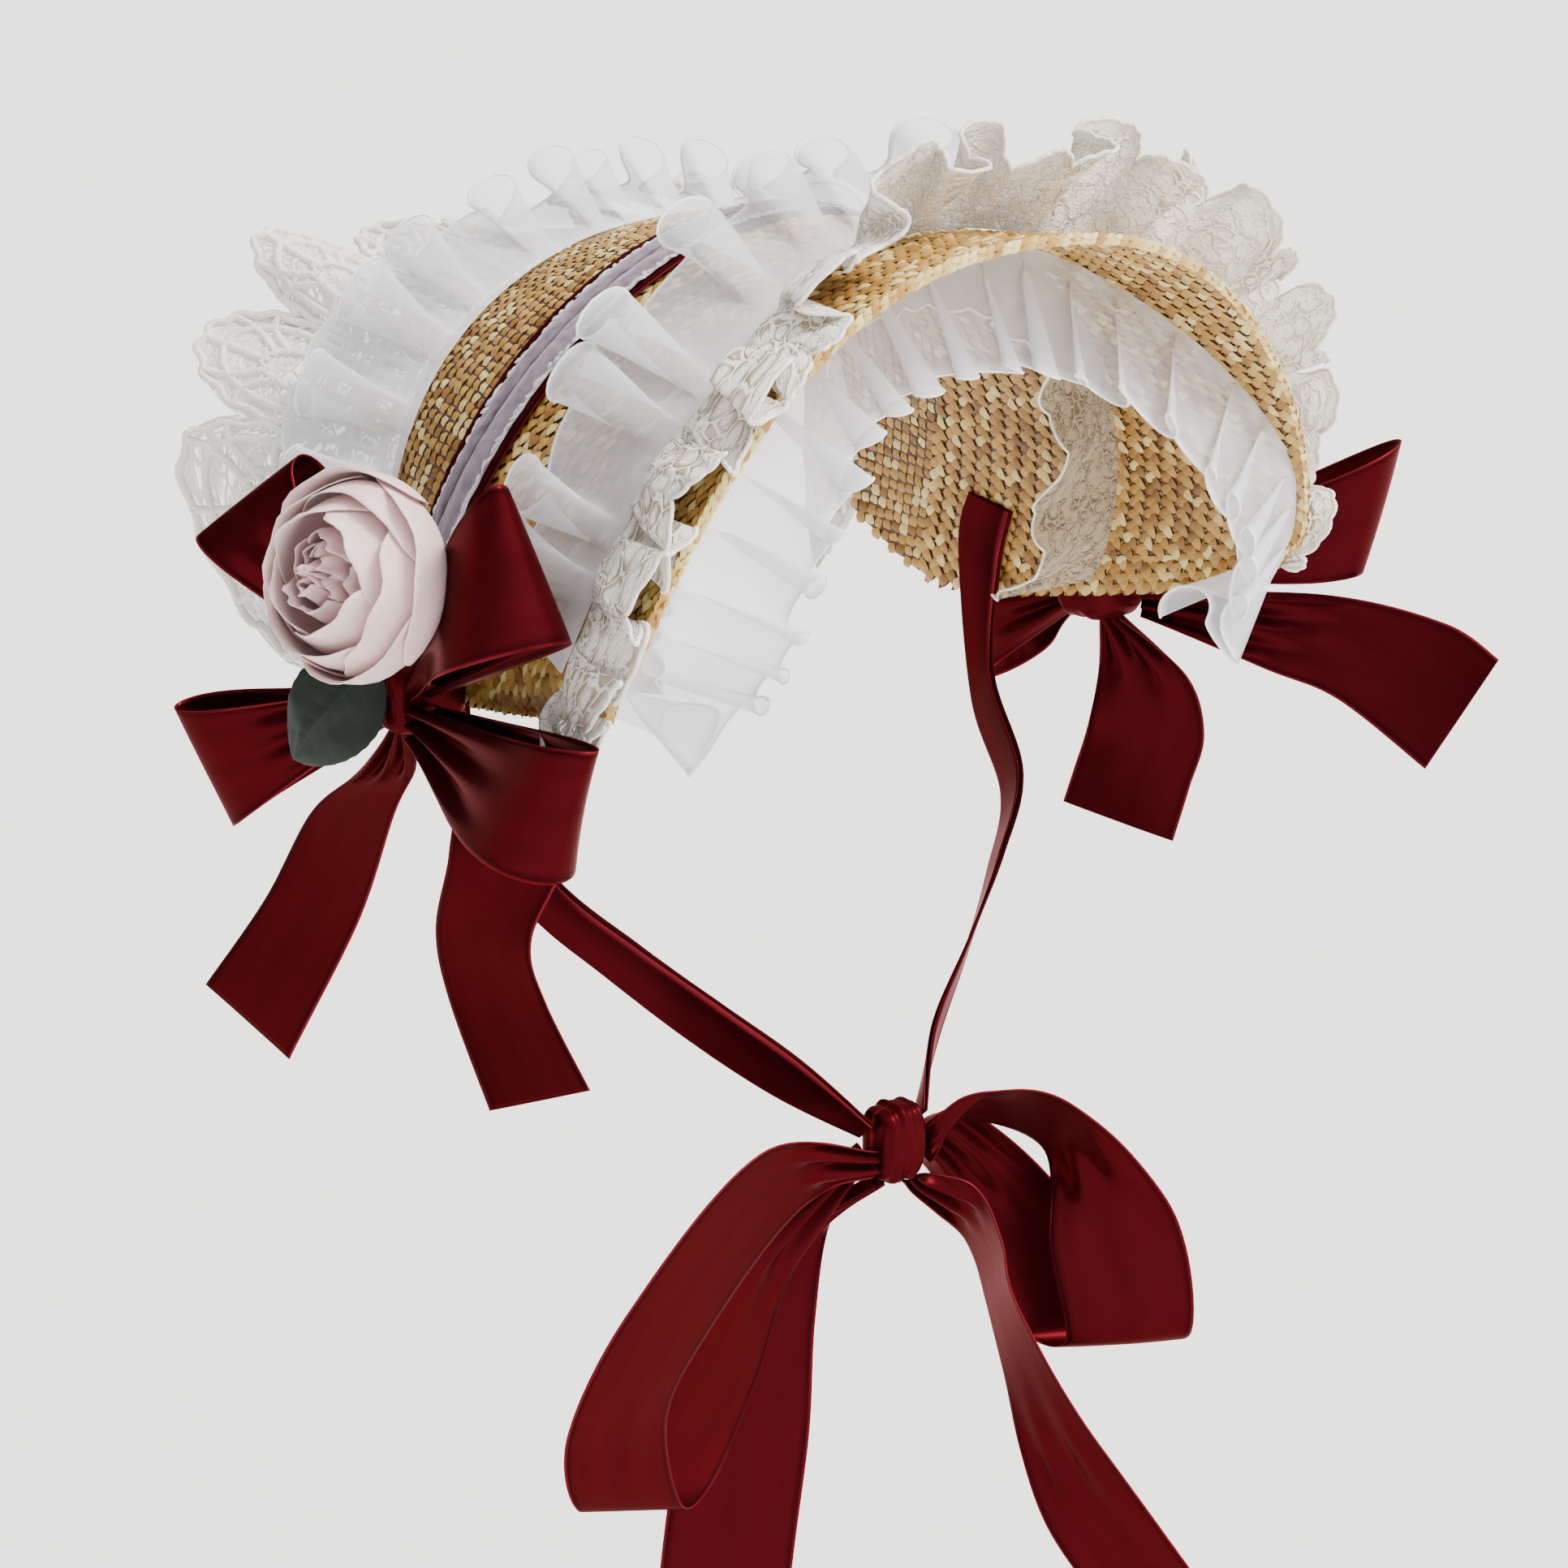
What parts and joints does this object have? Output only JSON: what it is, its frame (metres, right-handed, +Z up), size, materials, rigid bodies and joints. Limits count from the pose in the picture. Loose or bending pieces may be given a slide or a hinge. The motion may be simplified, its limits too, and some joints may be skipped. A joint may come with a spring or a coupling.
{
  "type": "straw bonnet",
  "caption": "Straw bonnet worn from ear to ear, with organza and lace frills, satin bows, a cloth rose and a ribbon tied under the chin.",
  "frame": {"origin": "where the inside of the crown rests on the top of the head, at the ribbon band", "axes": "the wearer faces -Y, +X is the wearer's left, +Z is up"},
  "size_m": [0.4552, 0.2912, 0.5781],
  "materials": {
    "straw": "golden plaited straw",
    "satin": "maroon satin ribbon",
    "gimp": "crinkled lavender grey trim",
    "organza": "sheer white organza",
    "cotton_lace": "matt cream cotton lace",
    "petal": "matt pale pink petal cloth",
    "leaf": "dark green leaf cloth"
  },
  "bodies": {
    "root": {"back_lace": "cotton_lace", "back_organza": "organza", "band_ribbon": "satin", "band_trim": "gimp", "bow_left_knot": "satin", "bow_left_loop_back_low": "satin", "bow_left_loop_back_up": "satin", "bow_left_loop_front_up": "satin", "bow_left_tail_down": "satin", "bow_left_tail_front": "satin", "bow_right_knot": "satin", "bow_right_loop_back_low": "satin", "bow_right_loop_back_up": "satin", "bow_right_loop_front_low": "satin", "bow_right_loop_front_up": "satin", "bow_right_tail_back": "satin", "bow_right_tail_front": "satin", "brim": "straw", "brim_lace": "cotton_lace", "brim_organza": "organza", "chin_knot": "satin", "chin_loop_left": "satin", "chin_loop_right": "satin", "chin_strap_left": "satin", "chin_strap_right": "satin", "chin_tail_left": "satin", "chin_tail_right": "satin", "crown": "straw", "inner_lace": "cotton_lace", "inner_ruffle": "organza", "leaf": "leaf", "rose": "petal"}
  },
  "joints": []
}
